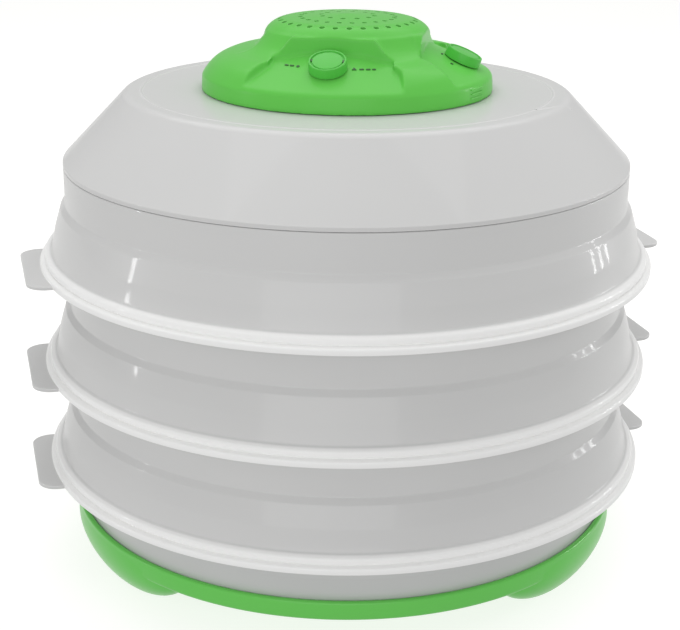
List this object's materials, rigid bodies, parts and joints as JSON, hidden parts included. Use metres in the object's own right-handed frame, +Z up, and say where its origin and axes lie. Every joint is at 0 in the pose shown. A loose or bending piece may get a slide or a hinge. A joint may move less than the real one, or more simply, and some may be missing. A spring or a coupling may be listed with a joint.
{
  "type": "food dehydrator",
  "caption": "Round table-top food dehydrator: stacked slotted trays on a footed base with a drip bowl, and a domed lid carrying a fan and heater head with two dials.",
  "frame": {"origin": "on the table surface, under the middle of the round base", "axes": "+Z is up along the stack's axis; -Y points out of the front control panel; +X points out of the second panel"},
  "size_m": [0.3698, 0.36, 0.3181],
  "materials": {
    "green_shell": "glossy moulded plastic in leaf green",
    "clear_white": "milky translucent moulded plastic",
    "inner_white": "plain moulded plastic",
    "dark_plastic": "fine-grained dark plastic",
    "knob_green": "satin moulded plastic in leaf green",
    "foot_rubber": "matte rubber",
    "zinc_steel": "zinc-plated steel",
    "motor_steel": "satin lacquered steel can",
    "heater_metal": "heat-darkened steel tube",
    "mica_board": "pressed mica board",
    "bush_brass": "plain turned bronze"
  },
  "bodies": {
    "base": {"base": "green_shell", "foot_pad_1": "foot_rubber", "foot_pad_2": "foot_rubber", "foot_pad_3": "foot_rubber"},
    "bowl": {"drip_bowl": "clear_white"},
    "lower_tray": {"tray_3": "clear_white"},
    "middle_tray": {"tray_2": "clear_white"},
    "upper_tray": {"tray_1": "clear_white"},
    "lid": {"lid": "clear_white", "head_housing": "green_shell", "fan_chassis": "inner_white", "chassis_screw_1": "zinc_steel", "chassis_screw_2": "zinc_steel", "chassis_screw_3": "zinc_steel", "chassis_screw_4": "zinc_steel", "motor_bracket": "zinc_steel", "bracket_screw_1": "zinc_steel", "bracket_screw_2": "zinc_steel", "motor": "motor_steel", "motor_screw_1": "zinc_steel", "motor_screw_2": "zinc_steel", "upper_bush": "bush_brass", "lower_bush": "bush_brass", "heater_frame": "mica_board", "heater_coil": "heater_metal", "outlet_guard": "inner_white", "guard_screw_1": "zinc_steel", "guard_screw_2": "zinc_steel", "guard_screw_3": "zinc_steel", "thermostat": "inner_white", "power_switch": "inner_white", "terminal_block": "inner_white", "thermal_fuse": "inner_white", "cord_gland": "dark_plastic"},
    "fan_wheel": {"motor_shaft": "zinc_steel", "fan": "dark_plastic", "fan_nut": "zinc_steel"},
    "temperature_dial": {"temperature_knob": "knob_green", "thermostat_spindle": "zinc_steel"},
    "power_dial": {"power_knob": "knob_green", "switch_spindle": "zinc_steel"}
  },
  "joints": [
    {"name": "bowl_lift", "type": "slide", "parent": "base", "child": "bowl", "axis": [0, 0, 1], "range_m": [0, 0.06]},
    {"name": "lower_tray_lift", "type": "slide", "parent": "bowl", "child": "lower_tray", "axis": [0, 0, 1], "range_m": [0, 0.06]},
    {"name": "middle_tray_lift", "type": "slide", "parent": "lower_tray", "child": "middle_tray", "axis": [0, 0, 1], "range_m": [0, 0.06]},
    {"name": "upper_tray_lift", "type": "slide", "parent": "middle_tray", "child": "upper_tray", "axis": [0, 0, 1], "range_m": [0, 0.06]},
    {"name": "lid_lift", "type": "slide", "parent": "upper_tray", "child": "lid", "axis": [0, 0, 1], "range_m": [0, 0.1]},
    {"name": "fan_spin", "type": "hinge", "parent": "lid", "child": "fan_wheel", "pos_m": [0, 0, 0.258], "axis": [0, 0, 1], "continuous": true},
    {"name": "temperature_turn", "type": "hinge", "parent": "lid", "child": "temperature_dial", "pos_m": [0, -0.0597, 0.29589], "axis": [0, -0.3907, 0.9205], "range_deg": [-270, 0]},
    {"name": "power_turn", "type": "hinge", "parent": "lid", "child": "power_dial", "pos_m": [0.0657, 0, 0.29334], "axis": [0.3907, 0, 0.9205], "range_deg": [-90, 0]}
  ]
}
